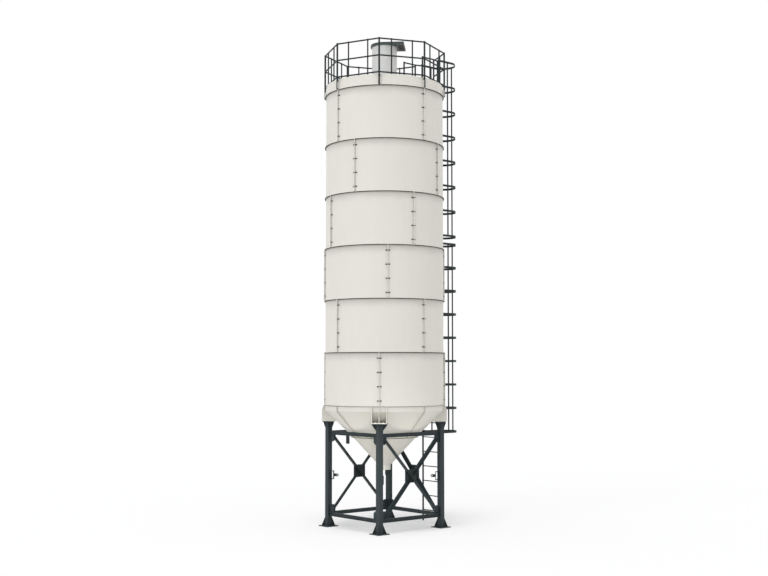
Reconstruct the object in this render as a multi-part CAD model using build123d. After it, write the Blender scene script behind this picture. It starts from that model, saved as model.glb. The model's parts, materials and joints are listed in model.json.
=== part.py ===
from build123d import *
import os
from math import asin, atan2, ceil, cos, degrees, hypot, radians, sin, sqrt, tan

# Bolted cement silo: six courses of flanged panels on a cone hopper, carried by four tube legs,
# with a caged ladder, a railed roof, a dust filter and a fill pipe.
# Units are millimetres. The origin is on the silo's axis at ground level and +Z is up.
# The legs stand on the diagonals between X and Y, and the ladder climbs the +X side.

# Plates and clearances
plate = 5.0                    # shell and hopper plate
joint_gap = 0.3                # clearance between pieces that seat on each other

# Shell courses
shell_radius = 1600.0          # outside of the plate
course_count = 6
course_pitch = 1400.0
shell_bottom = 3266.0          # joint between the lowest course and the hopper
panels_per_course = 4
course_flange = 30.0           # flange turned out at the top and bottom of each panel
seam_flange = 45.0             # flange turned out at each side of a panel
seam_turns = [0, 21, -12, -37, 0, 45]    # seam directions in degrees, top course first
gusset_count = 4               # small triangles in each corner between seam and shell
gusset_first = 161.0           # from the top of a course to its first gusset
gusset_pitch = 367.0
gusset_reach = 42.0
gusset_run = 58.0
gusset_plate = 10.0

# Hopper
skirt_height = 142.0           # upright band above the cone
upper_hopper_height = 856.0    # shell's bottom joint to the joint between the two cones
lower_hopper_height = 756.0
split_radius = 865.0
split_flange = 42.0
hopper_seam_flange = 35.0
outlet_radius = 166.0
collar_height = 128.0
collar_wall = 6.0
outlet_bore = 125.0
outlet_flange = 8.0
outlet_bolts = 8
outlet_bolt_ring = 145.0       # radius of the bolt circle
outlet_bolt_hole = 7.0

# Legs
leg_inset = 82.5               # leg axis inside the shell's face, along the diagonal
leg_side = 140.0               # square tube
leg_wall = 8.0
leg_round = 12.0               # outside of the tube's rolled corners
leg_rise = 36.0                # leg's top above the cone at the saddle's inner end
foot_size = 380.0
foot_plate = 20.0
anchor_offset = 150.0
anchor_hole = 13.0
drain_hole = 25.0
foot_gusset_reach = 180.0      # along the diagonal, from the leg's axis
foot_gusset_top = 243.0
cap_plate = 20.0
cap_width = 400.0              # along the silo's rim
cap_depth = 290.0              # towards the axis
cap_gusset_height = 163.0
leg_gusset_plate = 10.0
gusset_lip = 15.0              # straight edge at the wide end of a foot or cap gusset

# Lug on the inner side of each leg
lug_level = 1370.0
lug_height = 220.0
lug_width = 200.0
lug_depth = 50.0
lug_root = 45.0                # where its plates start, from the leg's axis
lug_plate = 10.0
lug_bar = 20.0
lug_eye_radius = 38.0
lug_eye_hole = 14.0
lug_reach = 180.0              # from the leg's corner to the tip of the eye

# Saddles between the hopper and the legs
saddle_width = 386.0
saddle_overhang = 78.0         # beyond the shell
saddle_length = 428.0          # cut back to the cone
saddle_base = 15.0
saddle_plate = 10.0
saddle_taper = 116.0           # from its shoulder up to the shell's bottom joint

# Beams and bracing
beam_height = 100.0
beam_depth = 50.0
beam_plate = 6.0
upper_beam_drop = 7.472        # upper beams below the hopper's side flanges
lower_beam_level = 336.0
corner_plate = 8.0
corner_plate_reach = 165.0     # from the leg's face
corner_plate_drop = 190.0      # beyond the beam's edge
corner_plate_cut = 60.0        # bevel at the free corner
brace_margin = 110.0           # from a beam's middle to the end of a brace's axis
brace_end = 167.0              # from the leg's axis to the end of a brace
brace_width = 90.0
brace_depth = 75.0
brace_plate = 7.0
brace_split = 60.0             # from the crossing to the start of a half brace
cross_plate_width = 400.0
cross_plate_height = 345.0

# Roof
rim_height = 274.0
rim_ledge = 40.0
rib_reach = 60.0
rib_height = 200.0
rib_plate = 6.0

# Guard rail
rail_sides = 8
rail_stand_off = 48.0          # corner post's axis from the shell
corner_post_radius = 24.5
entry_post_radius = 23.0
middle_post_radius = 18.5
middle_post_drop = 25.0        # below the lowest rail
rail_radius = 20.0
rail_lift = 58.0               # lowest rail's axis above the rim
rail_pitch = 447.5
rail_count = 3
post_rise = 3.0                # post ends above the top rail
middle_posts = [0.27, 0.73]    # shares of a side
entry_margin = 65.0            # entry post's axis beyond the ladder's stringer
handrail_run = 425.0           # from the entry posts inwards
handrail_bend = 150.0

# Ladder and cage
ladder_stand_off = 95.0        # stringer's axis from the shell
ladder_half = 325.0
stringer_radius = 24.0
rung_radius = 13.5
rung_first = 303.0
rung_pitch = 404.6
ladder_joint = 7870.0
clamp_plate = 8.0
clamp_width = 40.0
clamp_wall = 6.0
clamp_height = 40.0
clamp_root = 60.0              # overlap of a clamp's arm with the course flange
hoop_run = 505.0               # straight part, from the stringers to the bend
hoop_height = 60.0
hoop_plate = 6.0
hoop_tail = 15.0               # hoop end behind the stringer's axis
lower_hoop_first = 2471.0
lower_hoop_pitch = 660.0
lower_hoop_count = 9
upper_hoop_first = 7985.0
upper_hoop_pitch = 710.0
upper_hoop_count = 8
strip_width = 50.0
strip_plate = 5.0
side_strip_run = 362.0         # from the stringers to a side strip's middle

# Dust filter
filter_radius = 344.0
filter_wall = 3.0
filter_height = 1137.0         # above the deck
filter_flange = 40.0
filter_flange_plate = 8.0
air_passage = 200.0            # hole from the housing into the hood
hood_margin = 39.0             # hood beyond the housing
hood_height = 72.0
hood_wall = 4.0
hood_round = 16.0
hood_turn = -45.0
hood_reach = 562.0             # to the square end
outlet_margin = 30.0           # floor left at the ends of the hood's outlet
outlet_half = 280.0

# Fill pipe
pipe_radius = 50.8
pipe_wall = 4.0
pipe_side = 96.0
pipe_stand_off = 117.0         # pipe's axis from the shell
pipe_bottom = 2128.0
pipe_rise = 280.0              # top run above the rim
pipe_bend = 150.0
pipe_inset = 300.0             # from the shell inwards to where the pipe enters the roof
pipe_tail = 50.0               # below the deck

# Values that follow from the sizes above
shell_top = shell_bottom + course_count * course_pitch
joint_levels = [shell_top - k * course_pitch for k in range(course_count + 1)]
panel_turn = 360 / panels_per_course
panel_spread = joint_gap / 2 / sin(radians(panel_turn / 2))
mid_plate = plate / 2
skirt_bottom = shell_bottom - skirt_height
hopper_split = shell_bottom - upper_hopper_height
cone_bottom = hopper_split - lower_hopper_height
upper_slope = atan2(shell_radius - split_radius, skirt_bottom - hopper_split)
lower_slope = atan2(split_radius - outlet_radius, hopper_split - cone_bottom)
course_edge = shell_radius + course_flange
split_edge = split_radius + split_flange
rim_bottom = shell_top + joint_gap / 2
rim_top = shell_top + rim_height
deck_top = rim_top + joint_gap + plate
leg_offset = (shell_radius - leg_inset) / sqrt(2)
leg_face = leg_side / 2
leg_corner = leg_side / sqrt(2) - leg_round * (sqrt(2) - 1)
leg_bore = leg_side - 2 * leg_wall
saddle_outer = shell_radius + saddle_overhang
saddle_inner = saddle_outer - saddle_length
saddle_shoulder = shell_bottom - saddle_taper
leg_top = hopper_split + (saddle_inner - split_radius) / tan(upper_slope) + leg_rise
cap_gusset_bottom = leg_top - cap_plate - cap_gusset_height
face_seat = corner_plate / 2 + joint_gap
beam_web = leg_offset + face_seat
side_flange_run = beam_web - split_radius - hopper_seam_flange / cos(upper_slope)
side_flange_level = hopper_split + side_flange_run / tan(upper_slope)
upper_beam_level = side_flange_level - upper_beam_drop - beam_height / 2
brace_top = upper_beam_level - brace_margin
brace_bottom = lower_beam_level + brace_margin
rail_corner = shell_radius + rail_stand_off
rail_levels = [rim_top + rail_lift + k * rail_pitch for k in range(rail_count)]
rail_top = rail_levels[-1] + rail_radius + post_rise
rail_turn = 360 / rail_sides
rail_length = 2 * rail_corner * sin(radians(rail_turn / 2))
entry_half = ladder_half + entry_margin
entry_start = entry_half / cos(radians(rail_turn / 2))
entry_distance = rail_corner - entry_start * sin(radians(rail_turn / 2))
handrail_end = entry_distance - handrail_run
handrail_level = rail_top + joint_gap + rail_radius
ladder_distance = shell_radius + ladder_stand_off
hoop_centre = ladder_distance + hoop_run
hoop_end = ladder_distance - hoop_tail
hoop_half = ladder_half + stringer_radius + joint_gap + hoop_plate / 2
side_strip_distance = ladder_distance + side_strip_run
filter_top = deck_top + filter_height
hood_radius = filter_radius + hood_margin
pipe_distance = shell_radius + pipe_stand_off
pipe_top = rim_top + pipe_rise
pipe_inlet = shell_radius - pipe_inset
pipe_hole = pipe_radius + joint_gap


def turned(points, arc=360):
    """Revolve a closed outline of (radius, level) points about the silo's axis."""
    outline = make_face(Plane.XZ * Polyline(*points, close=True))
    return revolve(outline, axis=Axis.Z, revolution_arc=arc)


def upright(points, start, thickness):
    """Plate in the plane of X and Z, from Y = start to start + thickness."""
    outline = make_face(Plane.XZ * Polyline(*points, close=True))
    return Pos(0, start, 0) * extrude(outline, amount=thickness, dir=(0, 1, 0))


def level_plate(points, bottom, thickness):
    """Plate in the plane of X and Y, from Z = bottom upwards."""
    outline = make_face(Polyline(*points, close=True))
    return Pos(0, 0, bottom) * extrude(outline, amount=thickness)


def bar(start, end, radius):
    """Round bar between two points."""
    run = Vector(*end) - Vector(*start)
    place = Plane(origin=start, z_dir=run)
    return place * Cylinder(radius, run.length, align=(Align.CENTER, Align.CENTER, Align.MIN))


def slab(x_range, y_range, z_range):
    """Box from its limits along X, Y and Z."""
    sizes = [high - low for low, high in (x_range, y_range, z_range)]
    place = Pos(x_range[0], y_range[0], z_range[0])
    return place * Box(*sizes, align=(Align.MIN, Align.MIN, Align.MIN))


def disc(radius, bottom, height):
    """Round disc or plug on the silo's axis."""
    return Pos(0, 0, bottom) * Cylinder(radius, height, align=(Align.CENTER, Align.CENTER, Align.MIN))


def around(piece, count, first=0.0):
    """Copies of a piece at equal turns about the silo's axis."""
    return [Rot(0, 0, first + k * 360 / count) * piece for k in range(count)]


def both_edges(piece):
    """A piece on a panel's first edge and its mirror image on the other edge."""
    half = radians(panel_turn / 2)
    middle = Plane(origin=(0, 0, 0), x_dir=(0, 0, 1), z_dir=(-sin(half), cos(half), 0))
    return [piece, mirror(piece, about=middle)]


def set_out(panel):
    """Move a panel outwards so that its seams clear the next panels."""
    half = radians(panel_turn / 2)
    return Pos(panel_spread * cos(half), panel_spread * sin(half), 0) * panel


# Shell courses


def course_panel():
    """One shell panel: curved plate, flanges on four edges and seam gussets."""
    height = course_pitch - joint_gap
    inside = shell_radius - plate
    wall = turned([
        (inside, 0), (course_edge, 0), (course_edge, plate), (shell_radius, plate),
        (shell_radius, height - plate), (course_edge, height - plate), (course_edge, height),
        (inside, height),
    ], panel_turn)
    middle = shell_radius - mid_plate
    edge = slab((middle, shell_radius + seam_flange), (0, plate), (0, height))
    triangle = [(middle, mid_plate), (shell_radius + gusset_reach, mid_plate), (middle, gusset_run)]
    levels = [height - gusset_first - k * gusset_pitch for k in range(gusset_count)]
    gussets = [level_plate(triangle, z - gusset_plate / 2, gusset_plate) for z in levels]
    side = edge + gussets
    return set_out(wall + both_edges(side))


def course(panel, number):
    """Four panels of one course, numbered from the top."""
    bottom = joint_levels[number] + joint_gap / 2
    return [Pos(0, 0, bottom) * piece for piece in around(panel, panels_per_course, seam_turns[number - 1])]


# Hopper


def hopper_panel():
    """Quarter of the upper hopper: upright skirt, cone, flanges and side flanges."""
    top = shell_bottom - joint_gap / 2
    flat = plate / cos(upper_slope)
    wall = turned([
        (shell_radius - plate, top), (course_edge, top), (course_edge, top - plate),
        (shell_radius, top - plate), (shell_radius, skirt_bottom),
        (split_radius + plate * tan(upper_slope), hopper_split + plate),
        (split_edge, hopper_split + plate), (split_edge, hopper_split),
        (split_radius - flat, hopper_split),
        (shell_radius - plate, skirt_bottom + plate * tan(upper_slope / 2)),
    ], panel_turn)
    middle = shell_radius - mid_plate
    outside = shell_radius + hopper_seam_flange
    side = upright([
        (middle, top), (outside, top),
        (outside, skirt_bottom - hopper_seam_flange * tan(upper_slope / 2)),
        (split_radius + hopper_seam_flange / cos(upper_slope), hopper_split),
        (split_radius - flat / 2, hopper_split),
        (middle, skirt_bottom + mid_plate * tan(upper_slope / 2)),
    ], 0, plate)
    return set_out(wall + both_edges(side))


def hopper_cone():
    """Lower cone with its top flange."""
    top = hopper_split - joint_gap
    flat = plate / cos(lower_slope)
    return turned([
        (split_radius - flat, top), (split_edge, top), (split_edge, top - plate),
        (split_radius - plate * tan(lower_slope), top - plate), (outlet_radius, cone_bottom),
        (outlet_radius - flat, cone_bottom),
    ])


def outlet_collar():
    """Outlet neck with a bolting flange turned in at its mouth."""
    top = cone_bottom - joint_gap
    bottom = cone_bottom - collar_height
    inside = outlet_radius - collar_wall
    neck = turned([
        (outlet_bore, bottom), (outlet_radius, bottom), (outlet_radius, top), (inside, top),
        (inside, bottom + outlet_flange), (outlet_bore, bottom + outlet_flange),
    ])
    hole = Pos(outlet_bolt_ring, 0, 0) * disc(outlet_bolt_hole, bottom, outlet_flange)
    return neck - around(hole, outlet_bolts)


def hopper_outside():
    """Solid body of the hopper's outside, grown by the seat clearance, to trim what sits on it."""
    return turned([
        (0, shell_bottom), (shell_radius + joint_gap, shell_bottom),
        (shell_radius + joint_gap, skirt_bottom - joint_gap * tan(upper_slope / 2)),
        (split_radius + joint_gap / cos(upper_slope), hopper_split), (0, hopper_split),
    ])


def saddle():
    """Bracket that carries the hopper on a leg, built over +X."""
    bottom = leg_top + joint_gap
    shelf = bottom + saddle_base
    top = shell_bottom - joint_gap / 2 - plate - joint_gap
    outline = [
        (saddle_inner, shelf), (saddle_outer, shelf), (saddle_outer, saddle_shoulder),
        (course_edge, top), (saddle_inner, top),
    ]
    half = saddle_width / 2
    base = slab((saddle_inner, saddle_outer), (-half, half), (bottom, shelf))
    starts = [-half, -saddle_plate / 2, half - saddle_plate]
    return base + [upright(outline, start, saddle_plate) for start in starts] - hopper_outside()


# Legs


def leg_gusset(wide_level, narrow_level, reach):
    """Triangle between a corner of the tube and a foot or cap plate, with its wide end on the plate."""
    root = leg_corner - leg_wall / 2
    lip = gusset_lip if narrow_level > wide_level else -gusset_lip
    outline = [
        (root, wide_level), (reach, wide_level), (reach, wide_level + lip),
        (leg_corner, narrow_level), (root, narrow_level),
    ]
    return upright(outline, -leg_gusset_plate / 2, leg_gusset_plate)


def lug():
    """Bent bracket over a corner of the leg and the eye bar on it, built over +X."""
    face = leg_corner + lug_depth
    half = lug_height / 2
    bracket = slab((lug_root, face), (-lug_width / 2, lug_width / 2), (-half, half))
    inside = half - lug_plate
    window = slab((lug_root, face - lug_plate), (-lug_width / 2, lug_width / 2), (-inside, inside))
    bore = Rot(0, 0, 45) * Box(leg_bore, leg_bore, lug_height)
    eye_centre = leg_corner + lug_reach - lug_eye_radius
    bar_half = lug_bar / 2
    shank = slab((face - lug_plate / 2, eye_centre), (-bar_half, bar_half), (-lug_eye_radius, lug_eye_radius))
    eye = Pos(eye_centre, 0, 0) * Rot(90, 0, 0) * Cylinder(lug_eye_radius, lug_bar)
    hole = Pos(eye_centre, 0, 0) * Rot(90, 0, 0) * Cylinder(lug_eye_hole, lug_bar)
    return Pos(0, 0, lug_level) * (bracket - window - bore + shank + eye - hole)


def side_plate(level, way):
    """Bevelled plate on the -X side of a leg, for a beam and the brace above (way 1) or below it (-1)."""
    root = leg_wall / 2 - leg_face
    tip = -leg_face - corner_plate_reach
    near = level - way * beam_height / 2
    far = level + way * (beam_height / 2 + corner_plate_drop)
    outline = [
        (root, near), (root, far), (tip + corner_plate_cut, far),
        (tip, far - way * corner_plate_cut), (tip, near),
    ]
    return upright(outline, -corner_plate / 2, corner_plate)


def leg():
    """One welded leg about its own axis, with the silo's axis towards -X and -Y."""
    half = foot_size / 2
    foot = slab((-half, half), (-half, half), (0, foot_plate)) - disc(drain_hole, 0, foot_plate)
    for x in (-anchor_offset, anchor_offset):
        for y in (-anchor_offset, anchor_offset):
            foot -= Pos(x, y, 0) * disc(anchor_hole, 0, foot_plate)
    cap_bottom = leg_top - cap_plate
    section = RectangleRounded(leg_side, leg_side, leg_round)
    section -= RectangleRounded(leg_bore, leg_bore, leg_round - leg_wall)
    tube = Pos(0, 0, foot_plate) * extrude(section, amount=cap_bottom - foot_plate)
    cap = slab((-cap_depth / 2, cap_depth / 2), (-cap_width / 2, cap_width / 2), (cap_bottom, leg_top))
    foot_gusset = leg_gusset(foot_plate, foot_gusset_top, foot_gusset_reach)
    side_gusset = leg_gusset(cap_bottom, cap_gusset_bottom, cap_width / 2)
    depth_gusset = leg_gusset(cap_bottom, cap_gusset_bottom, cap_depth / 2)
    radial = [cap, *around(foot_gusset, 4), *around(depth_gusset, 2), *around(side_gusset, 2, 90)]
    pieces = [Rot(0, 0, 45) * piece for piece in radial]
    pieces.append(Rot(0, 0, 225) * lug())
    for plate_piece in (side_plate(upper_beam_level, -1), side_plate(lower_beam_level, 1)):
        pieces += [plate_piece, Rot(0, 0, 90) * plate_piece]
    return foot + tube + pieces


def beam(level):
    """Channel between two legs on the +X side, with its toes outwards."""
    half = beam_height / 2
    end = leg_offset - leg_face - joint_gap
    channel = slab((beam_web, beam_web + beam_depth), (-end, end), (level - half, level + half))
    hollow = slab((beam_web + beam_plate, beam_web + beam_depth), (-end, end),
                  (level - half + beam_plate, level + half - beam_plate))
    return channel - hollow


# Bracing


def brace_bar(start, end, tilt, outside=True):
    """Angle bar on the +X side, from start to end along its own axis, turned by tilt degrees.

    It seats on the outer or the inner face of the corner plates, with its toe away from them.
    """
    half = brace_width / 2
    flat = slab((0, brace_plate), (start, end), (-half, half))
    toe = slab((0, brace_depth), (start, end), (-half, brace_plate - half))
    angle = Pos(face_seat, 0, 0) * (flat + toe)
    if not outside:
        angle = mirror(angle, about=Plane.YZ)
    middle = (brace_top + brace_bottom) / 2
    return Pos(leg_offset, 0, middle) * Rot(tilt, 0, 0) * angle


def brace(halved):
    """Crossed angle bars and the plate at their crossing, on the +X side.

    The rising bar is either in two halves beside the other one or whole on the inner face.
    """
    run = leg_offset - brace_end
    rise = (brace_top - brace_bottom) / 2
    length = hypot(run, rise)
    tilt = degrees(atan2(rise, run))
    middle = (brace_top + brace_bottom) / 2
    half_width = cross_plate_width / 2
    half_height = cross_plate_height / 2
    cross = slab((leg_offset - corner_plate / 2, leg_offset + corner_plate / 2),
                 (-half_width, half_width), (middle - half_height, middle + half_height))
    falling = brace_bar(-length, length, -tilt)
    if halved:
        rising = [brace_bar(-length, -brace_split, tilt), brace_bar(brace_split, length, tilt)]
    else:
        rising = [brace_bar(-length, length, tilt, outside=False)]
    return [cross, falling, *rising]


# Roof


def roof_rim():
    """Upright rim with a foot flange, an inward ledge for the deck and ribs for the posts."""
    inside = shell_radius - plate
    rim = turned([
        (inside, rim_bottom), (course_edge, rim_bottom), (course_edge, rim_bottom + plate),
        (shell_radius, rim_bottom + plate), (shell_radius, rim_top),
        (shell_radius - rim_ledge, rim_top), (shell_radius - rim_ledge, rim_top - plate),
        (inside, rim_top - plate),
    ])
    root = shell_radius - mid_plate
    outline = [
        (root, rim_bottom + mid_plate), (course_edge, rim_bottom + mid_plate),
        (shell_radius + rib_reach, rim_bottom + course_flange),
        (shell_radius + rib_reach, rim_bottom + rib_height), (root, rim_bottom + rib_height),
    ]
    offset = corner_post_radius + joint_gap
    pair = [upright(outline, offset, rib_plate), upright(outline, -offset - rib_plate, rib_plate)]
    ribs = [Rot(0, 0, k * 360 / rail_sides) * rib for k in range(1, rail_sides) for rib in pair]
    return rim + ribs


def roof_deck():
    """Deck plate, open under the filter and where the fill pipe enters."""
    bottom = rim_top + joint_gap
    deck = disc(shell_radius, bottom, plate)
    deck -= disc(filter_radius - filter_wall, bottom, plate)
    return deck - Pos(pipe_side, pipe_inlet, 0) * disc(pipe_hole, bottom, plate)


def guard_side(start, end):
    """One side of the guard rail along +X from its first corner, with a post at its end.

    A side that starts or ends at the ladder's entry has a post there that stands on the deck.
    """
    low = rail_levels[0]
    deck_seat = deck_top + joint_gap
    flange_seat = rim_bottom + plate + joint_gap
    clear = corner_post_radius + joint_gap
    rails = [bar((start or clear, 0, z), (end, 0, z), rail_radius) for z in rail_levels]
    places = [share * rail_length for share in middle_posts]
    foot = low - rail_radius - middle_post_drop
    middles = [bar((x, 0, foot), (x, 0, rail_top), middle_post_radius) for x in places if start < x < end]
    if end < rail_length:
        post = bar((end, 0, deck_seat), (end, 0, rail_top), entry_post_radius)
    else:
        post = bar((end, 0, flange_seat), (end, 0, rail_top), corner_post_radius)
    if start:
        rails.append(bar((start, 0, deck_seat), (start, 0, rail_top), entry_post_radius))
    return post + rails + middles


def guard_rail():
    """All sides of the guard rail, numbered from the ladder round by +Y."""
    whole = guard_side(0, rail_length)
    first = guard_side(entry_start, rail_length)
    last = guard_side(0, rail_length - entry_start)
    sides = [first, *[whole] * (rail_sides - 2), last]
    along = Rot(0, 0, 90 + rail_turn / 2)
    return [Rot(0, 0, k * rail_turn) * Pos(rail_corner, 0, 0) * along * side for k, side in enumerate(sides)]


def handrails():
    """Rails from the ladder's stringers, short of the hoops' ends, over the entry posts to inner posts."""
    pieces = []
    deck_to_rail = (deck_top, handrail_level + rail_radius)
    for side in (-1, 1):
        y = side * entry_half
        points = [
            (handrail_end, y, handrail_level), (entry_distance, y, handrail_level),
            (ladder_distance, side * ladder_half, handrail_level),
        ]
        route = FilletPolyline(*points, radius=handrail_bend)
        rail = sweep(Plane(origin=points[0], z_dir=(1, 0, 0)) * Circle(rail_radius), path=route)
        cope = disc(stringer_radius + joint_gap, handrail_level - 2 * rail_radius, 4 * rail_radius)
        rail -= Pos(ladder_distance, side * ladder_half, 0) * cope
        rail -= slab((hoop_end - joint_gap, ladder_distance), (-entry_half, entry_half), deck_to_rail)
        foot = (handrail_end, y, deck_top + joint_gap)
        head = (handrail_end, y, handrail_level + rail_radius + post_rise)
        pieces.append(bar(foot, head, entry_post_radius) + rail)
    return pieces


# Ladder and cage


def ladder_section(bottom, top, highest_rung):
    """Two stringers with the rungs whose levels fall between them."""
    pieces = [bar((ladder_distance, side * ladder_half, bottom), (ladder_distance, side * ladder_half, top),
                  stringer_radius) for side in (-1, 1)]
    first = ceil(max(0, bottom - rung_first) / rung_pitch)
    last = int((highest_rung - rung_first) / rung_pitch)
    for k in range(first, last + 1):
        z = rung_first + k * rung_pitch
        pieces.append(bar((ladder_distance, -ladder_half, z), (ladder_distance, ladder_half, z), rung_radius))
    return pieces[0] + pieces[1:]


def clamp(distance, side, radius, joint):
    """Collar and arm that hold an upright bar on the flange at a course joint, built over +X."""
    bottom = joint_levels[joint] + joint_gap / 2 + plate + joint_gap
    half = clamp_width / 2
    near = sqrt(shell_radius ** 2 - side ** 2) - clamp_root / 2
    arm = slab((near, distance), (side - half, side + half), (bottom, bottom + clamp_plate))
    arm -= disc(shell_radius + joint_gap, bottom, clamp_plate)
    collar = Pos(distance, side, 0) * disc(radius + joint_gap + clamp_wall, bottom, clamp_height)
    hole = Pos(distance, side, 0) * disc(radius + joint_gap, bottom, clamp_height)
    return arm + collar - hole


def clears_seams(side, joint):
    """True if a clamp this far beside the +X line clears the seams of the course above a joint."""
    if joint == 0:
        return True
    turn = degrees(asin(side / shell_radius))
    off = (turn - seam_turns[joint - 1] + panel_turn / 2) % panel_turn - panel_turn / 2
    return abs(off) > degrees((gusset_run + plate + clamp_width / 2) / shell_radius)


def ladder_clamps():
    """Clamps on both stringers at each course joint where the seams leave room."""
    sides = (-ladder_half, ladder_half)
    joints = [joint for joint in range(course_count + 1) if all(clears_seams(side, joint) for side in sides)]
    return [clamp(ladder_distance, side, stringer_radius, joint) for joint in joints for side in sides]


def hoop(level):
    """Flat bar bent round the climbing space, with its ends outside the stringers."""
    run = hoop_centre - hoop_end
    middle = (hoop_centre + hoop_end) / 2
    outer = hoop_half + hoop_plate / 2
    inner = hoop_half - hoop_plate / 2
    outline = Pos(middle, 0) * Rectangle(run, 2 * outer) + Pos(hoop_centre, 0) * Circle(outer)
    inside = Pos(middle - hoop_tail, 0) * Rectangle(run + 2 * hoop_tail, 2 * inner)
    inside += Pos(hoop_centre, 0) * Circle(inner)
    return Pos(0, 0, level - hoop_height / 2) * extrude(outline - inside, amount=hoop_height)


def hoop_levels(first, pitch, count):
    return [first + k * pitch for k in range(count)]


def cage_strips(levels):
    """Three upright flats inside the hoops."""
    span = (levels[0] - hoop_height / 2, levels[-1] + hoop_height / 2)
    half = strip_width / 2
    outer = hoop_half - hoop_plate / 2 - joint_gap
    sides = (side_strip_distance - half, side_strip_distance + half)
    front = hoop_centre + sqrt(outer ** 2 - half ** 2)
    return [
        slab(sides, (outer - strip_plate, outer), span),
        slab(sides, (-outer, strip_plate - outer), span),
        slab((front - strip_plate, front), (-half, half), span),
    ]


# Dust filter


def filter_body():
    """Round filter housing on a foot flange, open at the bottom and into the hood."""
    bottom = deck_top + joint_gap
    inside = filter_radius - filter_wall
    return turned([
        (inside, bottom), (filter_radius + filter_flange, bottom),
        (filter_radius + filter_flange, bottom + filter_flange_plate),
        (filter_radius, bottom + filter_flange_plate), (filter_radius, filter_top),
        (air_passage, filter_top), (air_passage, filter_top - filter_wall),
        (inside, filter_top - filter_wall),
    ])


def hood_block(inset, bottom, height, rounding):
    """Round block with a square end over +X, drawn in by an inset, with its top edge rounded."""
    radius = hood_radius - inset
    tail = slab((0, hood_reach - inset), (-radius, radius), (bottom, bottom + height))
    block = disc(radius, bottom, height) + tail
    return fillet(block.edges().group_by(Axis.Z)[-1], rounding)


def filter_hood():
    """Flat rain hood on the housing, with the air's passage and outlet in its floor."""
    bottom = filter_top + joint_gap
    outside = hood_block(0, bottom, hood_height, hood_round)
    inside = hood_block(hood_wall, bottom + hood_wall, hood_height - 2 * hood_wall, hood_round - hood_wall)
    outlet = slab((hood_radius + outlet_margin / 2, hood_reach - outlet_margin), (-outlet_half, outlet_half),
                  (bottom, bottom + hood_wall))
    passage = disc(air_passage, bottom, hood_wall)
    return Rot(0, 0, hood_turn) * (outside - inside - outlet - passage)


# Fill pipe


def fill_pipe():
    """Pipe up the back of the silo, bent over the rim and down into the deck."""
    tail = rim_top - pipe_tail
    points = [
        (pipe_side, pipe_distance, pipe_bottom), (pipe_side, pipe_distance, pipe_top),
        (pipe_side, pipe_inlet, pipe_top), (pipe_side, pipe_inlet, tail),
    ]
    route = FilletPolyline(*points, radius=pipe_bend)
    ring = Circle(pipe_radius) - Circle(pipe_radius - pipe_wall)
    return sweep(Plane(origin=points[0], z_dir=(0, 0, 1)) * ring, path=route)


def pipe_clamps():
    """Clamps that hold the fill pipe at the joints between courses where the seams leave room."""
    joints = [joint for joint in range(1, course_count) if clears_seams(-pipe_side, joint)]
    return [Rot(0, 0, 90) * clamp(pipe_distance, -pipe_side, pipe_radius, joint) for joint in joints]


def all_parts():
    """Every sub-part by name."""
    panel = course_panel()
    parts = {f"ring_{number}": course(panel, number) for number in range(1, course_count + 1)}
    parts["hopper_upper"] = around(hopper_panel(), panels_per_course)
    parts["hopper_lower"] = [hopper_cone()]
    parts["outlet_collar"] = [outlet_collar()]
    parts["leg_saddles"] = around(saddle(), 4, 45)
    standing_leg = Pos(leg_offset, leg_offset, 0) * leg()
    for number, piece in enumerate(around(standing_leg, 4), start=1):
        parts[f"leg_{number}"] = [piece]
    parts["upper_beams"] = around(beam(upper_beam_level), 4)
    parts["lower_beams"] = around(beam(lower_beam_level), 4)
    parts["brace_front"] = [Rot(0, 0, -90) * piece for piece in brace(halved=True)]
    parts["brace_ladder"] = brace(halved=False)
    parts["brace_back"] = [Rot(0, 0, 90) * piece for piece in brace(halved=False)]
    parts["roof_rim"] = [roof_rim()]
    parts["roof_deck"] = [roof_deck()]
    for number, side in enumerate(guard_rail(), start=1):
        parts[f"guardrail_{number}"] = [side]
    parts["roof_handrails"] = handrails()
    parts["ladder_lower"] = [ladder_section(0, ladder_joint, ladder_joint)]
    top = handrail_level + rail_radius
    parts["ladder_upper"] = [ladder_section(ladder_joint + joint_gap, top, deck_top)]
    parts["ladder_clamps"] = ladder_clamps()
    lower_hoops = hoop_levels(lower_hoop_first, lower_hoop_pitch, lower_hoop_count)
    upper_hoops = hoop_levels(upper_hoop_first, upper_hoop_pitch, upper_hoop_count)
    parts["cage_hoops_lower"] = [hoop(level) for level in lower_hoops]
    parts["cage_hoops_upper"] = [hoop(level) for level in upper_hoops]
    parts["cage_strips_lower"] = cage_strips(lower_hoops)
    parts["cage_strips_upper"] = cage_strips(upper_hoops)
    parts["filter_body"] = [filter_body()]
    parts["filter_hood"] = [filter_hood()]
    parts["fill_pipe"] = [fill_pipe()]
    parts["pipe_clamps"] = pipe_clamps()
    return parts


os.makedirs("parts", exist_ok=True)
for name, pieces in all_parts().items():
    solids = [solid for piece in pieces for solid in piece.solids()]
    shape = solids[0] if len(solids) == 1 else Compound(children=solids)
    export_step(shape, f"parts/{name}.step")
    print(name, len(solids))
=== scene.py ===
import json
from itertools import product
from math import atan2, cos, hypot, pi, radians, sin, tan

import bmesh
import bpy
from mathutils import Matrix, Vector


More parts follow.
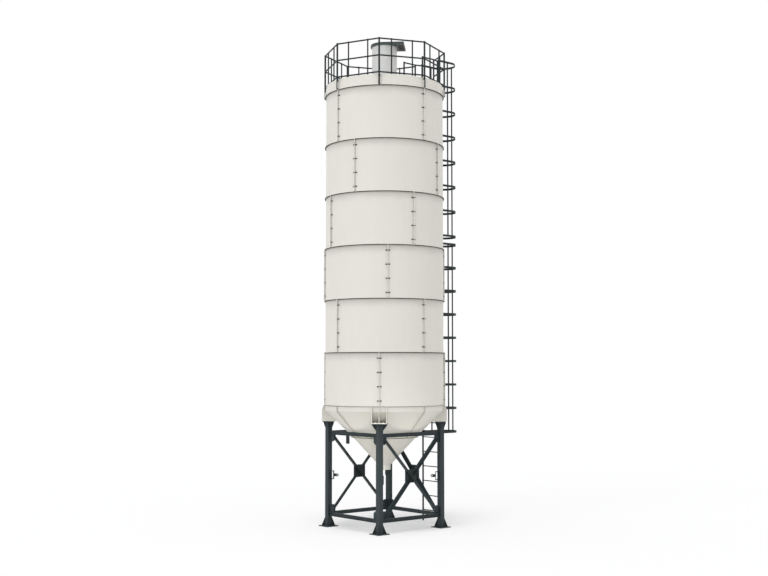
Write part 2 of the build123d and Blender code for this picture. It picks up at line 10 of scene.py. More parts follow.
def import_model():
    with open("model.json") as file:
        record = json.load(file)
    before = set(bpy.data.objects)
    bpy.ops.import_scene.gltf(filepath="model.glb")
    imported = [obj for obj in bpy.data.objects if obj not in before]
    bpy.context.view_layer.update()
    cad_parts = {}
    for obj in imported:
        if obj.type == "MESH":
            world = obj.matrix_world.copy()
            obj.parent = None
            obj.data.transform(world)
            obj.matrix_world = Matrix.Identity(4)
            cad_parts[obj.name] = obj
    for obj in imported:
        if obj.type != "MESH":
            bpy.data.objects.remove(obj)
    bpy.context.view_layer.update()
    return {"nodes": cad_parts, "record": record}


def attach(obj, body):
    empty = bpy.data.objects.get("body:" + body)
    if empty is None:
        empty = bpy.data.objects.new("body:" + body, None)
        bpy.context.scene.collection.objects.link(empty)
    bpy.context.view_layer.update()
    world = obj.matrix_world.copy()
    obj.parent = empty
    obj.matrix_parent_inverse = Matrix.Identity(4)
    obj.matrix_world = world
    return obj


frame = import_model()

# Looks of a bolted cement silo. Lengths are metres, in the row's frame: the origin is on the silo's axis
# at ground level, +Z is up and the ladder is on +X.

# Sizes shared with the solids
SHELL_RADIUS = 1.600
PLATE = 0.005
JOINT_GAP = 0.0003
COURSE_FLANGE = 0.030
SEAM_FLANGE = 0.045
SEAM_FLANGE_PLATES = 2 * PLATE + JOINT_GAP
COURSE_PITCH = 1.400
COURSE_COUNT = 6
SHELL_BOTTOM = 3.266
SHELL_TOP = SHELL_BOTTOM + COURSE_COUNT * COURSE_PITCH
SEAM_TURNS = (0, 21, -12, -37, 0, 45)
GUSSET_FIRST = 0.161
GUSSET_PITCH = 0.367
GUSSET_PLATE = 0.010
GUSSET_COUNT = 4
HOPPER_SEAM_FLANGE = 0.035
SKIRT_BOTTOM = 3.124
SPLIT_LEVEL = 2.410
SPLIT_RADIUS = 0.865
SPLIT_FLANGE = 0.042
LEG_TOP = 2.820
LEG_SIDE = 0.140
FOOT_PLATE = 0.020
FOOT_GUSSET_TOP = 0.243
CAP_GUSSET_BOTTOM = 2.637
CROSSING_PLATE = (0.400, 0.345)
LEG_INSET = 0.0825
LEG_OFFSET = (SHELL_RADIUS - LEG_INSET) / 2 ** 0.5
SADDLE_BASE = 0.015
BRACE_TOP = 2.400
BRACE_BOTTOM = 0.446
BRACE_END = 0.167
BRACE_PLATE = 0.007
CORNER_PLATE = 0.008
LADDER_DISTANCE = 1.695
HOOP_SIDE = 0.3553
LOWER_HOOPS = [2.471 + 0.660 * k for k in range(9)]
UPPER_HOOPS = [7.985 + 0.710 * k for k in range(8)]
DECK_TOP = 11.9453
FILTER_RADIUS = 0.344
FILTER_FLANGE = 0.040
FILTER_FLANGE_PLATE = 0.008
HOOD_FLOOR = 13.0826
HOOD_TURN = -45.0
OUTLET = ((0.398, 0.532), (-0.280, 0.280))    # along and across the hood

# Sizes of the dressing
SEAL_TOP = 0.002               # below the joint
SEAL_HEIGHT = 0.019
LOWEST_SEAL_HEIGHT = 0.008
SPLIT_SEAL_HEIGHT = 0.014
HOPPER_SEAL_WIDTH = 0.004
SEAL_REACH = 0.002
SEAL_END = 0.4                 # degrees left free beside a seam
WELD_SIDE = 0.009
WELD_RUN = 0.060
BLADE_PITCH = 0.0134
BLADE_WIDTH = 0.013
BLADE_PLATE = 0.0015
BLADE_LEAN = 15.0              # nearly closed

# Fasteners: thread sizes, counts and places
COURSE_BOLT = 0.012
BRACE_BOLT = 0.016
SADDLE_BOLT = 0.020
THIN_BOLT = 0.010
COURSE_BOLT_COUNT = 96
SPLIT_BOLT_COUNT = 48
FILTER_BOLT_COUNT = 24
CLAMP_TURNS = (-11.7, 11.7, 86.8)
SEAM_BOLT_TOP = 0.075
SEAM_BOLT_BOTTOM = 0.055
SEAM_BOLT_STEP = 0.110
SADDLE_BOLT_RUNS = (-0.095, 0.095)
SADDLE_BOLT_SIDES = (-0.100, 0.100)
PLATE_BOLTS = (0.100, 0.150)   # from the middle of the bracing
END_BOLTS = (0.075, 0.030)     # from the bars' ends

# Painted light and shade, as factors of the paints' colour
FLANGE_SHADOW_HEIGHT = 0.26            # painted shadow below each flange
FLANGE_SHADOW_SHADE = 0.80
# painted shade on the seam gussets
SEAM_GUSSET_SHADE = 0.05
# painted shade on faces that look straight down
UNDERSIDE_SHADE = 0.08
RIB_SHADE = 0.76               # painted shade on the sides of flanges and saddles
EDGE_HIGHLIGHT = 1.22              # painted highlight on the outer edges of the flanges
CONE_LIGHT = 1.28              # painted light towards the foot of the upper cone
# painted shade on the lower cone, which takes back most of the painted light there
LOWER_CONE_SHADE = 0.80
# painted shade between the legs' gussets and on the crossing plates
LEG_GUSSET_SHADE = 0.40
CROSSING_SHADE = 0.60
OFF_WALL = 0.003               # past this from the shell's face, a point is on a flange
GUSSET_MARGIN = 0.002
EDGE_MARGIN = 0.0015

# Colours, linear
CREAM = (0.738, 0.720, 0.672)
SLATE = (0.036, 0.048, 0.052)
RAIL_SLATE = (0.018, 0.026, 0.028)
FILTER_GREY = (0.640, 0.640, 0.640)
HOOD_SLATE = (0.045, 0.062, 0.064)
SOOT = (0.070, 0.065, 0.059)
# dark rubber of the sealing strips, which also stands for painted shade under the joints
RUBBER_AND_SHADE = (0.020, 0.020, 0.019)
ZINC = (0.42, 0.42, 0.41)
# dark brown of the welds, which also stands for painted shade at the gussets
WELD_AND_SHADE_BROWN = (0.050, 0.044, 0.035)

# Light and floor
SKY_BRIGHT = 0.95
SKY_DIM = 0.70
SKY_COLOUR = (0.985, 0.99, 1.0)
SKY_TURN = -32.0               # brighter side, from the camera's own direction, plus to its right
FLOOR_SEEN = 0.55
FLOOR_LIFT = 0.335
FLOOR_BOUNCE = (0.71, 0.70, 0.66)
FLOOR_SIZE = 400.0
FILL_PLACE = (-6.0, -9.4, 0.7)
FILL_AIM = (0.0, 0.0, 2.2)
FILL_POWER = 1000.0
FILL_ANGLE = 18.0

# Camera, fitted to the photograph
LENS = 54.62
CAMERA_PLACE = (-20.447, -24.213, 4.217)
CAMERA_TURN = -40.157
CAMERA_TILT = 3.994


# Materials


class Look:
    """Node material under construction, with its shader and coordinates."""

    def __init__(self, name):
        self.material = bpy.data.materials.new(name)
        self.material.use_nodes = True
        self.nodes = self.material.node_tree.nodes
        self.nodes.clear()
        output = self.nodes.new("ShaderNodeOutputMaterial")
        self.shader = self.nodes.new("ShaderNodeBsdfPrincipled")
        self.link(self.shader.outputs["BSDF"], output.inputs["Surface"])
        self.place = self.nodes.new("ShaderNodeTexCoord").outputs["Object"]

    def link(self, source, target):
        self.material.node_tree.links.new(source, target)

    def feed(self, value, target):
        """Give an input a number or another node's output."""
        if isinstance(value, (int, float)):
            target.default_value = value
        else:
            self.link(value, target)

    def math(self, operation, *values):
        """Result of a math node."""
        node = self.nodes.new("ShaderNodeMath")
        node.operation = operation
        for value, target in zip(values, node.inputs):
            self.feed(value, target)
        return node.outputs["Value"]

    def split(self, vector):
        """Parts of a vector by their axis."""
        node = self.nodes.new("ShaderNodeSeparateXYZ")
        self.link(vector, node.inputs["Vector"])
        return node.outputs

    def noise(self, scale, detail=3.0, stretch=(1, 1, 1)):
        """Noise over the row's coordinates, in features per metre."""
        mapping = self.nodes.new("ShaderNodeMapping")
        mapping.inputs["Scale"].default_value = stretch
        self.link(self.place, mapping.inputs["Vector"])
        texture = self.nodes.new("ShaderNodeTexNoise")
        texture.inputs["Scale"].default_value = scale
        texture.inputs["Detail"].default_value = detail
        self.link(mapping.outputs["Vector"], texture.inputs["Vector"])
        return texture.outputs["Fac"]

    def remap(self, value, low, high, start=0.3, end=0.7, smooth=False):
        """Value that goes from low to high while the given one goes from start to end."""
        ramp = self.nodes.new("ShaderNodeMapRange")
        if smooth:
            ramp.interpolation_type = "SMOOTHSTEP"
        ramp.inputs["From Min"].default_value = start
        ramp.inputs["From Max"].default_value = end
        ramp.inputs["To Min"].default_value = low
        ramp.inputs["To Max"].default_value = high
        self.link(value, ramp.inputs["Value"])
        return ramp.outputs["Result"]

    def base(self, color, factor):
        """Base colour multiplied by a grey factor."""
        mix = self.nodes.new("ShaderNodeMix")
        mix.data_type = "RGBA"
        mix.blend_type = "MULTIPLY"
        mix.inputs["Factor"].default_value = 1.0
        mix.inputs["A"].default_value = (*color, 1.0)
        self.link(factor, mix.inputs["B"])
        self.link(mix.outputs["Result"], self.shader.inputs["Base Color"])

    def bump(self, height, distance, strength):
        """Fine relief."""
        node = self.nodes.new("ShaderNodeBump")
        node.inputs["Strength"].default_value = strength
        node.inputs["Distance"].default_value = distance
        self.link(height, node.inputs["Height"])
        self.link(node.outputs["Normal"], self.shader.inputs["Normal"])


def sprayed(look, roughness, specular):
    """Uneven gloss and orange peel of sprayed paint."""
    gloss = look.remap(look.noise(3.1, 4), roughness - 0.05, roughness + 0.07)
    look.link(gloss, look.shader.inputs["Roughness"])
    look.shader.inputs["Specular IOR Level"].default_value = specular
    look.bump(look.noise(260.0, 2), 0.0004, 0.35)
    return look.material


def mottled(look, mottle, streaks, stretch=0.12):
    """Factor near 1 with faint clouds and upright runs."""
    clouds = look.remap(look.noise(1.3, 4), 1 - mottle, 1 + mottle)
    runs = look.remap(look.noise(7.0, 3, (1, 1, stretch)), 1 - streaks, 1 + streaks)
    return look.math("MULTIPLY", clouds, runs)


def paint(name, color, roughness, mottle, streaks, specular=0.5, stretch=0.12):
    """Paint of one colour with faint clouds and runs."""
    look = Look(name)
    look.base(color, mottled(look, mottle, streaks, stretch))
    return sprayed(look, roughness, specular)


def all_of(look, *masks):
    """Product of masks or factors."""
    result = masks[0]
    for mask in masks[1:]:
        result = look.math("MULTIPLY", result, mask)
    return result


def flange_gussets(look, drop, radius, on_flange):
    """1 on the gussets of the shell's seams, which stand at an even pitch below each joint."""
    near = look.math("WRAP", drop, GUSSET_FIRST + GUSSET_PITCH / 2, GUSSET_FIRST - GUSSET_PITCH / 2)
    at_gusset = look.math("COMPARE", near, GUSSET_FIRST, GUSSET_PLATE / 2 + GUSSET_MARGIN)
    inside_edge = look.math("LESS_THAN", radius, SHELL_RADIUS + SEAM_FLANGE - EDGE_MARGIN)
    return all_of(look, at_gusset, inside_edge, on_flange)


def shell_paint():
    """Cream paint of the shell, with painted shade below the flanges, on undersides, gussets and rib sides,
    a painted highlight on flange edges and painted light and shade on the cones.
    """
    look = Look("shell_paint_look")
    geometry = look.nodes.new("ShaderNodeNewGeometry")
    place = look.split(geometry.outputs["Position"])
    normal = look.split(geometry.outputs["Normal"])
    radius = look.math("SQRT", look.math("ADD", look.math("POWER", place["X"], 2.0),
                                         look.math("POWER", place["Y"], 2.0)))
    level = place["Z"]
    off_wall = look.math("GREATER_THAN", radius, SHELL_RADIUS + OFF_WALL)
    on_shell = all_of(look, look.math("GREATER_THAN", level, SHELL_BOTTOM),
                      look.math("LESS_THAN", level, SHELL_TOP))
    height = look.math("WRAP", level, SHELL_BOTTOM + COURSE_PITCH, SHELL_BOTTOM)
    drop = look.math("SUBTRACT", SHELL_BOTTOM + COURSE_PITCH, height)

    # Painted shade: the gussets of the seams are darkened nearly to black
    gusset = flange_gussets(look, drop, radius, all_of(look, off_wall, on_shell))
    gusset_shade = look.remap(gusset, 1.0, SEAM_GUSSET_SHADE, 0, 1)

    # Painted shadow below each flange: the wall darkens towards the flange above, over an uneven height
    uneven = look.remap(look.noise(2.3, 4), 0.75, 1.2)
    share = look.math("DIVIDE", drop, look.math("MULTIPLY", uneven, FLANGE_SHADOW_HEIGHT))
    flange_shadow = look.remap(share, FLANGE_SHADOW_SHADE, 1.0, 0, 1, smooth=True)
    elsewhere = look.math("MAXIMUM", off_wall, look.math("SUBTRACT", 1.0, on_shell))
    wall_shade = look.math("MAXIMUM", flange_shadow, elsewhere)

    # Painted shade on faces turned sideways, such as the sides of flanges and saddles
    radial = look.math("ADD", look.math("MULTIPLY", place["X"], normal["X"]),
                       look.math("MULTIPLY", place["Y"], normal["Y"]))
    outward = look.math("ABSOLUTE", look.math("DIVIDE", radial, radius))
    facing = look.math("MAXIMUM", outward, look.math("ABSOLUTE", normal["Z"]))
    rib_side = look.remap(facing, RIB_SHADE, 1.0, 0.25, 0.45)
    # Painted highlight on the outer edges of the flanges
    edge = all_of(look, off_wall, look.math("GREATER_THAN", outward, 0.9))
    edge_highlight = look.remap(edge, 1.0, EDGE_HIGHLIGHT, 0, 1)
    # Painted shade: faces that look straight down are darkened nearly to black
    underside = look.remap(normal["Z"], UNDERSIDE_SHADE, 1.0, -0.99, -0.93)

    # Painted light on the upper cone, growing towards its foot; on the lower cone, painted shade takes most
    # of it back
    cone = look.remap(level, CONE_LIGHT, 1.0, SPLIT_LEVEL, SKIRT_BOTTOM)
    lower_cone = look.remap(level, LOWER_CONE_SHADE, 1.0, SPLIT_LEVEL - PLATE, SPLIT_LEVEL)
    clouds = mottled(look, 0.008, 0.008)
    look.base(CREAM, all_of(look, clouds, wall_shade, gusset_shade, underside, rib_side, edge_highlight, cone,
                            lower_cone))
    return sprayed(look, 0.43, 0.3)


def steel_paint():
    """Slate paint of the frame, with painted shade on the legs' gussets and the crossing plates."""
    look = Look("steel_paint_look")
    place = look.split(look.place)
    level = place["Z"]
    away = [look.math("ABSOLUTE", place[axis]) for axis in ("X", "Y")]
    from_leg = [look.math("ABSOLUTE", look.math("SUBTRACT", value, LEG_OFFSET)) for value in away]
    # Painted shade in the recesses beside the legs' tubes, at the gussets of feet and caps
    reach = look.math("MAXIMUM", *from_leg)
    beside_tube = all_of(look, look.math("GREATER_THAN", reach, LEG_SIDE / 2 + 0.001),
                         look.math("LESS_THAN", reach, LEG_SIDE))
    foot = all_of(look, look.math("GREATER_THAN", level, FOOT_PLATE + 0.001),
                  look.math("LESS_THAN", level, FOOT_GUSSET_TOP))
    cap = look.math("GREATER_THAN", level, CAP_GUSSET_BOTTOM)
    ends = all_of(look, look.math("MAXIMUM", foot, cap), beside_tube)
    gusset = look.remap(ends, 1.0, LEG_GUSSET_SHADE, 0, 1)

    # Painted shade on the crossing plates of the bracing
    plate_width, plate_height = CROSSING_PLATE
    middle = look.math("COMPARE", level, (BRACE_TOP + BRACE_BOTTOM) / 2, plate_height / 2)
    aside = look.math("LESS_THAN", look.math("MINIMUM", *away), plate_width / 2)
    crossing = look.remap(all_of(look, middle, aside), 1.0, CROSSING_SHADE, 0, 1)
    look.base(SLATE, all_of(look, mottled(look, 0.08, 0.06), gusset, crossing))
    return sprayed(look, 0.48, 0.18)


def zinc():
    """Galvanised fasteners: speckled, half-dull metal."""
    look = Look("zinc_look")
    look.base(ZINC, look.remap(look.noise(180.0, 2), 0.85, 1.1))
    look.shader.inputs["Metallic"].default_value = 0.85
    look.link(look.remap(look.noise(60.0, 2), 0.38, 0.55), look.shader.inputs["Roughness"])
    look.bump(look.noise(400.0, 2), 0.0002, 0.3)
    return look.material


def matt(name, color):
    """Dusty matt surface of the dark sealing strips and welds, which also stand for painted shade at the
    joints and gussets.
    """
    look = Look(name)
    look.base(color, look.remap(look.noise(9.0, 4), 0.7, 1.6))
    look.link(look.remap(look.noise(20.0, 3), 0.65, 0.85), look.shader.inputs["Roughness"])
    look.shader.inputs["Specular IOR Level"].default_value = 0.2
    look.bump(look.noise(300.0, 2), 0.0005, 0.4)
    return look.material


MATERIALS = {
    "shell_paint": shell_paint(),
    "steel_paint": steel_paint(),
    "filter_paint": paint("filter_paint_look", FILTER_GREY, 0.35, mottle=0.01, streaks=0.05, stretch=0.01),
    "rail_paint": paint("rail_paint_look", RAIL_SLATE, 0.48, mottle=0.08, streaks=0.06, specular=0.22),
    "hood_paint": paint("hood_paint_look", HOOD_SLATE, 0.45, mottle=0.06, streaks=0.04, specular=0.3),
    "pipe_paint": paint("pipe_paint_look", SLATE, 0.45, mottle=0.06, streaks=0.05, specular=0.22),
}
ZINC_LOOK = zinc()
RUBBER_AND_SHADE_LOOK = matt("rubber_and_shade_look", RUBBER_AND_SHADE)
WELD_AND_SHADE_LOOK = matt("weld_and_shade_look", WELD_AND_SHADE_BROWN)
SOOT_LOOK = matt("soot_look", SOOT)


def dress_nodes():
    """Give each solid the look of its material slot, with a darker coat on rails and ladder."""
    slots = {entry["node"]: entry["material_slot"] for entry in frame["record"]["subparts"]}
    rails = ("guardrail", "roof_handrails", "ladder_", "cage")
    for name, node in frame["nodes"].items():
        look = "rail_paint" if name.startswith(rails) else slots[name]
        for slot in node.material_slots:
            slot.material = MATERIALS[look]


def mount(mesh, name, material):
    """Turn a finished bmesh into a piece that rides on the silo."""
    data = bpy.data.meshes.new(name)
    mesh.to_mesh(data)
    mesh.free()
    piece = bpy.data.objects.new(name, data)
    bpy.context.collection.objects.link(piece)
    data.materials.append(material)
    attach(piece, "root")


def polar(radius, turn, level):
    """Point at a radius and an angle in degrees."""
    return Vector((radius * cos(radians(turn)), radius * sin(radians(turn)), level))


def sideways(turn):
    """Level direction across the one at an angle in degrees."""
    return Vector((-sin(radians(turn)), cos(radians(turn)), 0))


def off_angle(turn, mark, period):
    """Smallest angle between a direction and a mark that repeats every period degrees."""
    return abs((turn - mark + period / 2) % period - period / 2)


def joint_level(number):
    """Level of a course joint, counted from the top."""
    return SHELL_TOP - number * COURSE_PITCH


# Sealing strips, dark rubber that also stands for painted shade under the joints


def skin(mesh, rings):
    """Closed bar through cross-sections of four points each."""
    for one, other in zip(rings, rings[1:]):
        for k in range(4):
            after = (k + 1) % 4
            mesh.faces.new((one[k], one[after], other[after], other[k]))
    mesh.faces.new(list(reversed(rings[0])))
    mesh.faces.new(rings[-1])


def seal_arc(mesh, radius, first, last, top, height):
    """Strip of rubber on a flange's edge, between two directions in degrees."""
    steps = 30
    edge = radius + SEAL_REACH
    section = ((radius, top), (edge, top), (edge, top - height), (radius, top - height))
    rings = []
    for step in range(steps + 1):
        turn = first + (last - first) * step / steps
        rings.append([mesh.verts.new(polar(reach, turn, level)) for reach, level in section])
    skin(mesh, rings)


def seal_run(mesh, path, turn):
    """Strip of rubber on a seam's edge, through (radius, level) points from the top down."""
    across = sideways(turn) * HOPPER_SEAL_WIDTH / 2
    normals = []
    for (radius, level), (next_radius, next_level) in zip(path, path[1:]):
        normals.append(Vector((level - next_level, next_radius - radius)).normalized())
    rings = []
    for point, before, after in zip(path, normals[:1] + normals, normals + normals[-1:]):
        inner = Vector(point)
        outer = inner + (before + after).normalized() * SEAL_REACH
        corners = [(inner, -1), (outer, -1), (outer, 1), (inner, 1)]
        rings.append([mesh.verts.new(polar(spot.x, turn, spot.y) + across * side) for spot, side in corners])
    skin(mesh, rings)


def seals():
    """Sealing strips that bulge out of the course joints, the upper cone's seams and the split, made tall
    and dark enough to be painted shade under the flanges as well.
    """
    mesh = bmesh.new()
    radius = SHELL_RADIUS + COURSE_FLANGE
    slope = atan2(SHELL_RADIUS - SPLIT_RADIUS, SKIRT_BOTTOM - SPLIT_LEVEL)
    hopper_edge = SHELL_RADIUS + HOPPER_SEAM_FLANGE
    hopper_path = [
        (hopper_edge, SHELL_BOTTOM - PLATE),
        (hopper_edge, SKIRT_BOTTOM - HOPPER_SEAM_FLANGE * tan(slope / 2)),
        (SPLIT_RADIUS + HOPPER_SEAM_FLANGE / cos(slope), SPLIT_LEVEL),
    ]
    for number in range(COURSE_COUNT + 1):
        lowest = number == COURSE_COUNT
        seam = 0 if lowest else SEAM_TURNS[number]
        height = LOWEST_SEAL_HEIGHT if lowest else SEAL_HEIGHT
        for quarter in range(4):
            turn = seam + 90 * quarter
            top = joint_level(number) - SEAL_TOP
            seal_arc(mesh, radius, turn + SEAL_END, turn + 90 - SEAL_END, top, height)
            if lowest:
                seal_run(mesh, hopper_path, turn)
    split_edge = SPLIT_RADIUS + SPLIT_FLANGE
    for turn in range(0, 360, 90):
        seal_arc(mesh, split_edge, turn, turn + 90, SPLIT_LEVEL - JOINT_GAP, SPLIT_SEAL_HEIGHT)
    bmesh.ops.recalc_face_normals(mesh, faces=mesh.faces)
    mount(mesh, "seals", RUBBER_AND_SHADE_LOOK)


# Welds, dark enough to also stand for painted shade at the gussets


def gusset_welds():
    """Dark weld beads above and below the seam gussets, on the shell, which also stand for painted shade
    there.
    """
    mesh = bmesh.new()
    size = Matrix.Diagonal((WELD_SIDE, WELD_RUN, WELD_SIDE, 1))
    gussets = product(enumerate(SEAM_TURNS), range(4), range(GUSSET_COUNT), (-1, 1), (-1, 1))
    for (number, first), quarter, k, side, above in gussets:
        level = joint_level(number) - GUSSET_FIRST - k * GUSSET_PITCH
        height = level + above * (GUSSET_PLATE + WELD_SIDE) / 2
        away = side * (SEAM_FLANGE_PLATES / 2 + WELD_RUN / 2)
        reach = (SHELL_RADIUS ** 2 - away ** 2) ** 0.5
        turned = Matrix.Rotation(radians(first + 90 * quarter), 4, "Z")
        lean = Matrix.Rotation(atan2(away, reach), 4, "Z")
        place = turned @ Matrix.Translation((reach, away, height)) @ lean
        bmesh.ops.create_cube(mesh, size=1.0, matrix=place @ size)
    mount(mesh, "gusset_welds", WELD_AND_SHADE_LOOK)


# Outlet louvre


def louvre():
    """Nearly closed blades across the hood's outlet."""
    mesh = bmesh.new()
    (start, end), (left, right) = OUTLET
    turned = Matrix.Rotation(radians(HOOD_TURN), 4, "Z")
    lean = Matrix.Rotation(radians(BLADE_LEAN), 4, "Y")
    size = Matrix.Diagonal((BLADE_WIDTH, right - left, BLADE_PLATE, 1))
    level = HOOD_FLOOR + BLADE_WIDTH / 2 * sin(radians(BLADE_LEAN)) + BLADE_PLATE
    for k in range(int((end - start) / BLADE_PITCH)):
        middle = Matrix.Translation((start + (k + 0.5) * BLADE_PITCH, 0, level))
        bmesh.ops.create_cube(mesh, size=1.0, matrix=turned @ middle @ lean @ size)
    mount(mesh, "louvre", SOOT_LOOK)


# Fasteners


class Fasteners:
    """Collects hexagon heads with washers into one mesh."""

    def __init__(self):
        self.mesh = bmesh.new()

    def ring(self, place, radius, height, corners):
        """Points of one cross-section."""
        step = 2 * pi / corners
        points = [(radius * cos(k * step), radius * sin(k * step), height) for k in range(corners)]
        return [self.mesh.verts.new(place @ Vector(point)) for point in points]

    def stack(self, place, sections, corners):
        """Closed prism through a list of (radius, height) sections."""
        rings = [self.ring(place, radius, height, corners) for radius, height in sections]
        for low, high in zip(rings, rings[1:]):
            for k in range(corners):
                after = (k + 1) % corners
                self.mesh.faces.new((low[k], low[after], high[after], high[k]))
        self.mesh.faces.new(rings[-1])
        self.mesh.faces.new(list(reversed(rings[0])))

    def head(self, point, axis, size, turn=0.0):
        """Washer and chamfered hexagon of a bolt of the given thread size, standing on a face."""
        direction = Vector(axis).normalized()
        place = Matrix.Translation(point) @ direction.to_track_quat("Z", "Y").to_matrix().to_4x4()
        place = place @ Matrix.Rotation(turn, 4, "Z")
        washer = 0.18 * size
        corner = 0.95 * size
        top = washer + 0.75 * size
        self.stack(place, [(1.15 * size, 0), (1.15 * size, washer)], 12)
        self.stack(place, [(corner, washer), (corner, top - 0.1 * size), (0.85 * size, top)], 6)


def course_bolts():
    """Bolts through the flanges of all course joints, clear of seams, clamps, posts and saddles."""
    bolts = Fasteners()
    ring = SHELL_RADIUS + 0.5 * COURSE_FLANGE
    seat = PLATE + JOINT_GAP / 2
    for number in range(COURSE_COUNT + 1):
        level = joint_level(number)
        lowest = number == COURSE_COUNT
        for k in range(COURSE_BOLT_COUNT):
            turn = (k + 0.5) * 360 / COURSE_BOLT_COUNT
            clamp = min(off_angle(turn, mark, 360) for mark in CLAMP_TURNS) < 2
            post = number == 0 and off_angle(turn, 0, 45) < 2
            above = off_angle(turn, SEAM_TURNS[number - 1], 90) if number else 90
            below = off_angle(turn, 0 if lowest else SEAM_TURNS[number], 90)
            saddle = lowest and off_angle(turn, 45, 90) <= 7.5
            if not clamp and not post and above > 1:
                bolts.head(polar(ring, turn, level + seat), (0, 0, 1), COURSE_BOLT, k)
            if below > 1 and not saddle:
                bolts.head(polar(ring, turn, level - seat), (0, 0, -1), COURSE_BOLT, k)
    mount(bolts.mesh, "course_bolts", MATERIALS["shell_paint"])


def seam_bolts():
    """Bolts through the upright flanges of the shell panels, between the gussets."""
    bolts = Fasteners()
    ring = SHELL_RADIUS + 0.62 * SEAM_FLANGE
    drops = [SEAM_BOLT_TOP, COURSE_PITCH - SEAM_BOLT_BOTTOM]
    for k in range(GUSSET_COUNT - 1):
        middle = GUSSET_FIRST + (k + 0.5) * GUSSET_PITCH
        drops += [middle - SEAM_BOLT_STEP, middle, middle + SEAM_BOLT_STEP]
    for (number, first), quarter, drop in product(enumerate(SEAM_TURNS), range(4), drops):
        turn = first + 90 * quarter
        middle = polar(ring, turn, joint_level(number) - drop)
        for side in (-1, 1):
            axis = sideways(turn) * side
            bolts.head(middle + axis * (PLATE + JOINT_GAP / 2), axis, COURSE_BOLT, drop)
    mount(bolts.mesh, "seam_bolts", MATERIALS["shell_paint"])


def split_bolts():
    """Bolts through the joint between the two hopper cones."""
    bolts = Fasteners()
    ring = SPLIT_RADIUS + 0.62 * SPLIT_FLANGE
    for k in range(SPLIT_BOLT_COUNT):
        turn = (k + 0.5) * 360 / SPLIT_BOLT_COUNT
        bolts.head(polar(ring, turn, SPLIT_LEVEL + PLATE), (0, 0, 1), COURSE_BOLT, k)
        bolts.head(polar(ring, turn, SPLIT_LEVEL - JOINT_GAP - PLATE), (0, 0, -1), COURSE_BOLT, k)
    mount(bolts.mesh, "split_bolts", MATERIALS["shell_paint"])


def filter_bolts():
    """Bolts through the filter's foot flange."""
    bolts = Fasteners()
    ring = FILTER_RADIUS + 0.55 * FILTER_FLANGE
    level = DECK_TOP + JOINT_GAP + FILTER_FLANGE_PLATE
    for k in range(FILTER_BOLT_COUNT):
        turn = (k + 0.5) * 360 / FILTER_BOLT_COUNT
        bolts.head(polar(ring, turn, level), (0, 0, 1), THIN_BOLT, k)
    mount(bolts.mesh, "filter_bolts", ZINC_LOOK)


def saddle_bolts():
    """Bolts that hold the saddles on the legs' cap plates."""
    bolts = Fasteners()
    middle = SHELL_RADIUS - LEG_INSET
    level = LEG_TOP + JOINT_GAP + SADDLE_BASE
    for turn, run, side in product(range(45, 360, 90), SADDLE_BOLT_RUNS, SADDLE_BOLT_SIDES):
        place = polar(middle + run, turn, level) + sideways(turn) * side
        bolts.head(place, (0, 0, 1), SADDLE_BOLT, run + side)
    mount(bolts.mesh, "saddle_bolts", MATERIALS["shell_paint"])


def brace_bolts():
    """Bolts through the bracing at the corner plates and at the crossings."""
    bolts = Fasteners()
    run = LEG_OFFSET - BRACE_END
    rise = (BRACE_TOP - BRACE_BOTTOM) / 2
    length = hypot(run, rise)
    tilt = atan2(rise, run)
    middle = (BRACE_TOP + BRACE_BOTTOM) / 2
    seat = CORNER_PLATE / 2 + JOINT_GAP + BRACE_PLATE
    places = [*PLATE_BOLTS, *(length - gap for gap in END_BOLTS)]
    for turn, rising_face in ((-90, 1), (0, -1), (90, -1)):
        turned = Matrix.Rotation(radians(turn), 4, "Z")
        for (slope, face), reach, way in product(((1, rising_face), (-1, 1)), places, (-1, 1)):
            end = way * reach
            level = middle + slope * end * sin(tilt)
            point = Vector((LEG_OFFSET + face * seat, end * cos(tilt), level))
            bolts.head(turned @ point, turned @ Vector((face, 0, 0)), BRACE_BOLT, reach)
    mount(bolts.mesh, "brace_bolts", MATERIALS["steel_paint"])


def hoop_bolts():
    """Bolts that hold the hoops on the ladder's stringers."""
    bolts = Fasteners()
    for level, side in product(LOWER_HOOPS + UPPER_HOOPS, (-1, 1)):
        bolts.head(Vector((LADDER_DISTANCE, side * HOOP_SIDE, level)), (0, side, 0), THIN_BOLT, level)
    mount(bolts.mesh, "hoop_bolts", MATERIALS["steel_paint"])


# Stage


def sharp_rays(nodes, links):
    """1 for what the camera sees straight, in a reflection or through glass, else 0."""
    path = nodes.new("ShaderNodeLightPath")
    total = path.outputs["Is Camera Ray"]
    for kind in ("Is Glossy Ray", "Is Transmission Ray"):
        both = nodes.new("ShaderNodeMath")
        both.operation = "MAXIMUM"
        links.new(total, both.inputs[0])
        links.new(path.outputs[kind], both.inputs[1])
        total = both.outputs["Value"]
    return total


def floor():
    """Large pale floor that keeps the silo's shadow."""
    bpy.ops.mesh.primitive_plane_add(size=FLOOR_SIZE, location=(0, 0, 0))
    plane = bpy.context.object
    plane.name = "floor"
    material = bpy.data.materials.new("floor_look")
    material.use_nodes = True
    nodes = material.node_tree.nodes
    links = material.node_tree.links
    nodes.clear()
    output = nodes.new("ShaderNodeOutputMaterial")
    seen = nodes.new("ShaderNodeBsdfDiffuse")
    seen.inputs["Color"].default_value = (*[FLOOR_SEEN] * 3, 1)
    lift = nodes.new("ShaderNodeEmission")
    lift.inputs["Strength"].default_value = FLOOR_LIFT
    both = nodes.new("ShaderNodeAddShader")
    links.new(seen.outputs["BSDF"], both.inputs[0])
    links.new(lift.outputs["Emission"], both.inputs[1])
    plain = nodes.new("ShaderNodeBsdfDiffuse")
    plain.inputs["Color"].default_value = (*FLOOR_BOUNCE, 1)
    mix = nodes.new("ShaderNodeMixShader")
    links.new(sharp_rays(nodes, links), mix.inputs["Fac"])
    links.new(plain.outputs["BSDF"], mix.inputs[1])
    links.new(both.outputs["Shader"], mix.inputs[2])
    links.new(mix.outputs["Shader"], output.inputs["Surface"])
    plane.data.materials.append(material)


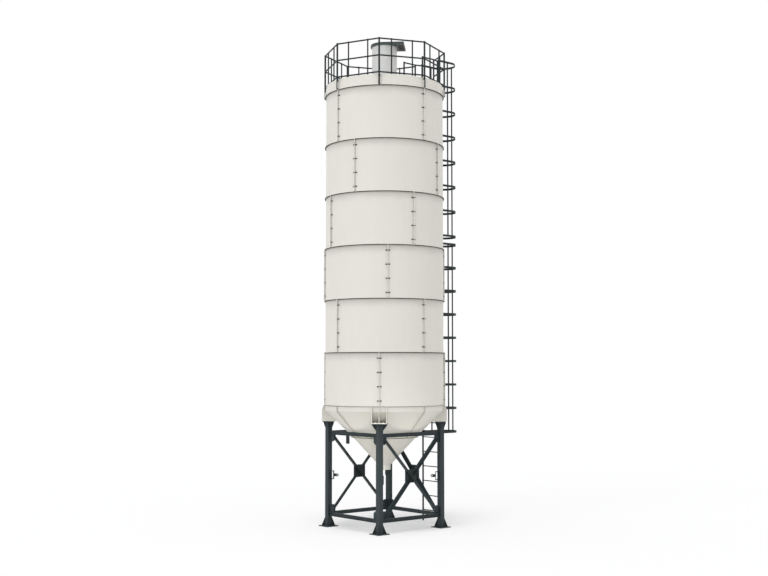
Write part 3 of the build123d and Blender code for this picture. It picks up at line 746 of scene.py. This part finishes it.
def world():
    """White to the camera, soft light for the object that is brighter from the left."""
    sky = bpy.data.worlds.new("studio")
    bpy.context.scene.world = sky
    sky.use_nodes = True
    nodes = sky.node_tree.nodes
    links = sky.node_tree.links
    nodes.clear()
    output = nodes.new("ShaderNodeOutputWorld")
    white = nodes.new("ShaderNodeBackground")
    white.inputs["Color"].default_value = (1, 1, 1, 1)
    white.inputs["Strength"].default_value = 1.0
    soft = nodes.new("ShaderNodeBackground")
    soft.inputs["Color"].default_value = (*SKY_COLOUR, 1)
    place = nodes.new("ShaderNodeTexCoord")
    side = nodes.new("ShaderNodeVectorMath")
    side.operation = "DOT_PRODUCT"
    azimuth = radians(SKY_TURN + CAMERA_TURN - 90)
    side.inputs[1].default_value = (cos(azimuth), sin(azimuth), 0)
    links.new(place.outputs["Generated"], side.inputs[0])
    ramp = nodes.new("ShaderNodeMapRange")
    ramp.inputs["From Min"].default_value = -1.0
    ramp.inputs["To Min"].default_value = SKY_DIM
    ramp.inputs["To Max"].default_value = SKY_BRIGHT
    links.new(side.outputs["Value"], ramp.inputs["Value"])
    links.new(ramp.outputs["Result"], soft.inputs["Strength"])
    mix = nodes.new("ShaderNodeMixShader")
    links.new(sharp_rays(nodes, links), mix.inputs["Fac"])
    links.new(soft.outputs["Background"], mix.inputs[1])
    links.new(white.outputs["Background"], mix.inputs[2])
    links.new(mix.outputs["Shader"], output.inputs["Surface"])


def lamp(data, place, towards):
    """Put a lamp at a place so that it shines against the given direction."""
    item = bpy.data.objects.new(data.name, data)
    bpy.context.collection.objects.link(item)
    item.location = place
    item.rotation_euler = towards.to_track_quat("Z", "Y").to_euler()


def sun(name, turn, height, strength, softness, color):
    """Soft distant lamp, from a direction counted from the camera's own, plus to its right."""
    data = bpy.data.lights.new(name, "SUN")
    data.energy = strength
    data.angle = radians(softness)
    data.color = color
    azimuth = radians(turn + CAMERA_TURN - 90)
    level = cos(radians(height))
    towards = Vector((cos(azimuth) * level, sin(azimuth) * level, sin(radians(height))))
    lamp(data, towards * 40, towards)


def low_fill():
    """Soft spot lamp near the floor in front, on the hopper and the legs."""
    data = bpy.data.lights.new("low_fill", "SPOT")
    data.energy = FILL_POWER
    data.spot_size = radians(FILL_ANGLE)
    data.spot_blend = 0.8
    data.shadow_soft_size = 1.2
    lamp(data, FILL_PLACE, Vector(FILL_PLACE) - Vector(FILL_AIM))


def camera():
    """Camera at the photograph's place."""
    data = bpy.data.cameras.new("camera")
    data.lens = LENS
    data.sensor_width = 36.0
    data.clip_end = 1000.0
    view = bpy.data.objects.new("camera", data)
    bpy.context.collection.objects.link(view)
    view.location = CAMERA_PLACE
    view.rotation_euler = (radians(90 + CAMERA_TILT), 0, radians(CAMERA_TURN))
    bpy.context.scene.camera = view


dress_nodes()
seals()
gusset_welds()
louvre()
course_bolts()
seam_bolts()
split_bolts()
filter_bolts()
saddle_bolts()
brace_bolts()
hoop_bolts()
floor()
world()
sun("key", turn=-40, height=25, strength=0.42, softness=40, color=(0.94, 0.98, 1.0))
sun("overhead", turn=-15, height=80, strength=1.1, softness=14, color=(1.0, 0.995, 0.98))
low_fill()
camera()
bpy.context.scene.view_settings.view_transform = "Standard"
